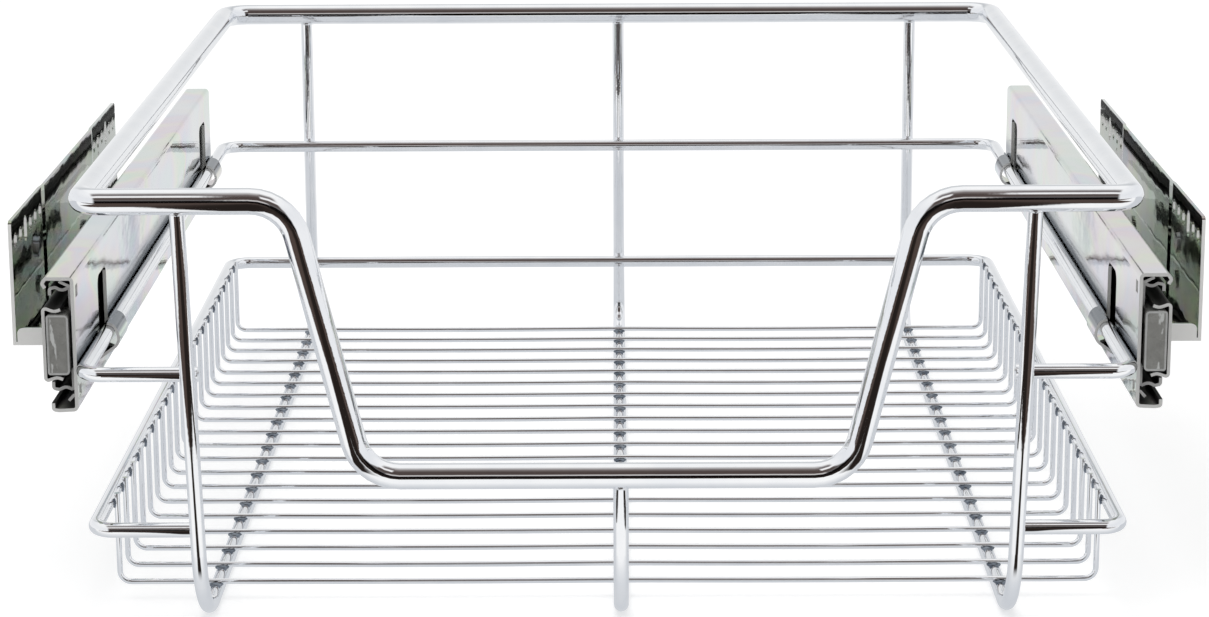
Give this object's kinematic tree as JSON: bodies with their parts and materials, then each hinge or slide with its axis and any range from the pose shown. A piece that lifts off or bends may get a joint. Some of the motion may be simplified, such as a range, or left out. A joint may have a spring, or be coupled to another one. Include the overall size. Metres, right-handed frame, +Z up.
{
  "type": "pull out cabinet basket",
  "caption": "Chromed wire basket with a dipped front handle that pulls out of a kitchen cabinet on side-mounted ball bearing slides with screw-on brackets.",
  "frame": {"origin": "on the ground, under the middle of the whole unit with the basket pushed in", "axes": "+Z up, -Y to the front with the handle, where the basket pulls out, +X to the right seen from the front"},
  "size_m": [0.414, 0.437, 0.155],
  "materials": {
    "chrome_wire": "mirror bright chrome plate",
    "slide_zinc": "bright zinc plate with a faint rainbow",
    "bracket_zinc": "mirror-like zinc plate with a rainbow passivation",
    "cage_steel": "plain zinc plate",
    "ball_steel": "polished ball steel",
    "grey_plastic": "light grey, slightly glossy",
    "black_nylon": "matt black"
  },
  "bodies": {
    "cabinet_side": {"bracket_left": "bracket_zinc", "bracket_right": "bracket_zinc", "cabinet_channel_left": "slide_zinc", "cabinet_channel_right": "slide_zinc", "rear_bumper_left": "black_nylon", "rear_bumper_right": "black_nylon", "rivets": "slide_zinc"},
    "basket": {"basket_channel_left": "slide_zinc", "basket_channel_right": "slide_zinc", "rim_frame": "chrome_wire", "middle_rail": "chrome_wire", "tray_rail": "chrome_wire", "long_wire_left": "chrome_wire", "long_wire_middle": "chrome_wire", "long_wire_right": "chrome_wire", "floor_wire_01": "chrome_wire", "floor_wire_02": "chrome_wire", "floor_wire_03": "chrome_wire", "floor_wire_04": "chrome_wire", "floor_wire_05": "chrome_wire", "floor_wire_06": "chrome_wire", "floor_wire_07": "chrome_wire", "floor_wire_08": "chrome_wire", "floor_wire_09": "chrome_wire", "floor_wire_10": "chrome_wire", "floor_wire_11": "chrome_wire", "floor_wire_12": "chrome_wire", "floor_wire_13": "chrome_wire", "floor_wire_14": "chrome_wire", "floor_wire_15": "chrome_wire", "floor_wire_16": "chrome_wire", "floor_wire_17": "chrome_wire", "floor_wire_18": "chrome_wire", "floor_wire_19": "chrome_wire", "floor_wire_20": "chrome_wire"},
    "intermediate_left": {"intermediate_channel_left": "slide_zinc", "end_plate_left": "grey_plastic"},
    "outer_cage_left": {"outer_cage_left": "cage_steel", "outer_balls_left": "ball_steel"},
    "inner_cage_left": {"inner_cage_left": "cage_steel", "inner_balls_left": "ball_steel"},
    "intermediate_right": {"intermediate_channel_right": "slide_zinc", "end_plate_right": "grey_plastic"},
    "outer_cage_right": {"outer_cage_right": "cage_steel", "outer_balls_right": "ball_steel"},
    "inner_cage_right": {"inner_cage_right": "cage_steel", "inner_balls_right": "ball_steel"}
  },
  "joints": [
    {"name": "basket_slide", "type": "slide", "parent": "cabinet_side", "child": "basket", "axis": [0, -1, 0], "range_m": [0, 0.35]},
    {"name": "intermediate_left_slide", "type": "slide", "parent": "cabinet_side", "child": "intermediate_left", "axis": [0, -1, 0], "range_m": [0, 0.175]},
    {"name": "outer_cage_left_slide", "type": "slide", "parent": "cabinet_side", "child": "outer_cage_left", "axis": [0, -1, 0], "range_m": [0, 0.2625]},
    {"name": "inner_cage_left_slide", "type": "slide", "parent": "cabinet_side", "child": "inner_cage_left", "axis": [0, -1, 0], "range_m": [0, 0.0875]},
    {"name": "intermediate_right_slide", "type": "slide", "parent": "cabinet_side", "child": "intermediate_right", "axis": [0, -1, 0], "range_m": [0, 0.175]},
    {"name": "outer_cage_right_slide", "type": "slide", "parent": "cabinet_side", "child": "outer_cage_right", "axis": [0, -1, 0], "range_m": [0, 0.2625]},
    {"name": "inner_cage_right_slide", "type": "slide", "parent": "cabinet_side", "child": "inner_cage_right", "axis": [0, -1, 0], "range_m": [0, 0.0875]}
  ],
  "couplings": [
    {"joint": "intermediate_left_slide", "follows": "basket_slide", "ratio": 0.5},
    {"joint": "outer_cage_left_slide", "follows": "basket_slide", "ratio": 0.75},
    {"joint": "inner_cage_left_slide", "follows": "basket_slide", "ratio": 0.25},
    {"joint": "intermediate_right_slide", "follows": "basket_slide", "ratio": 0.5},
    {"joint": "outer_cage_right_slide", "follows": "basket_slide", "ratio": 0.75},
    {"joint": "inner_cage_right_slide", "follows": "basket_slide", "ratio": 0.25}
  ]
}
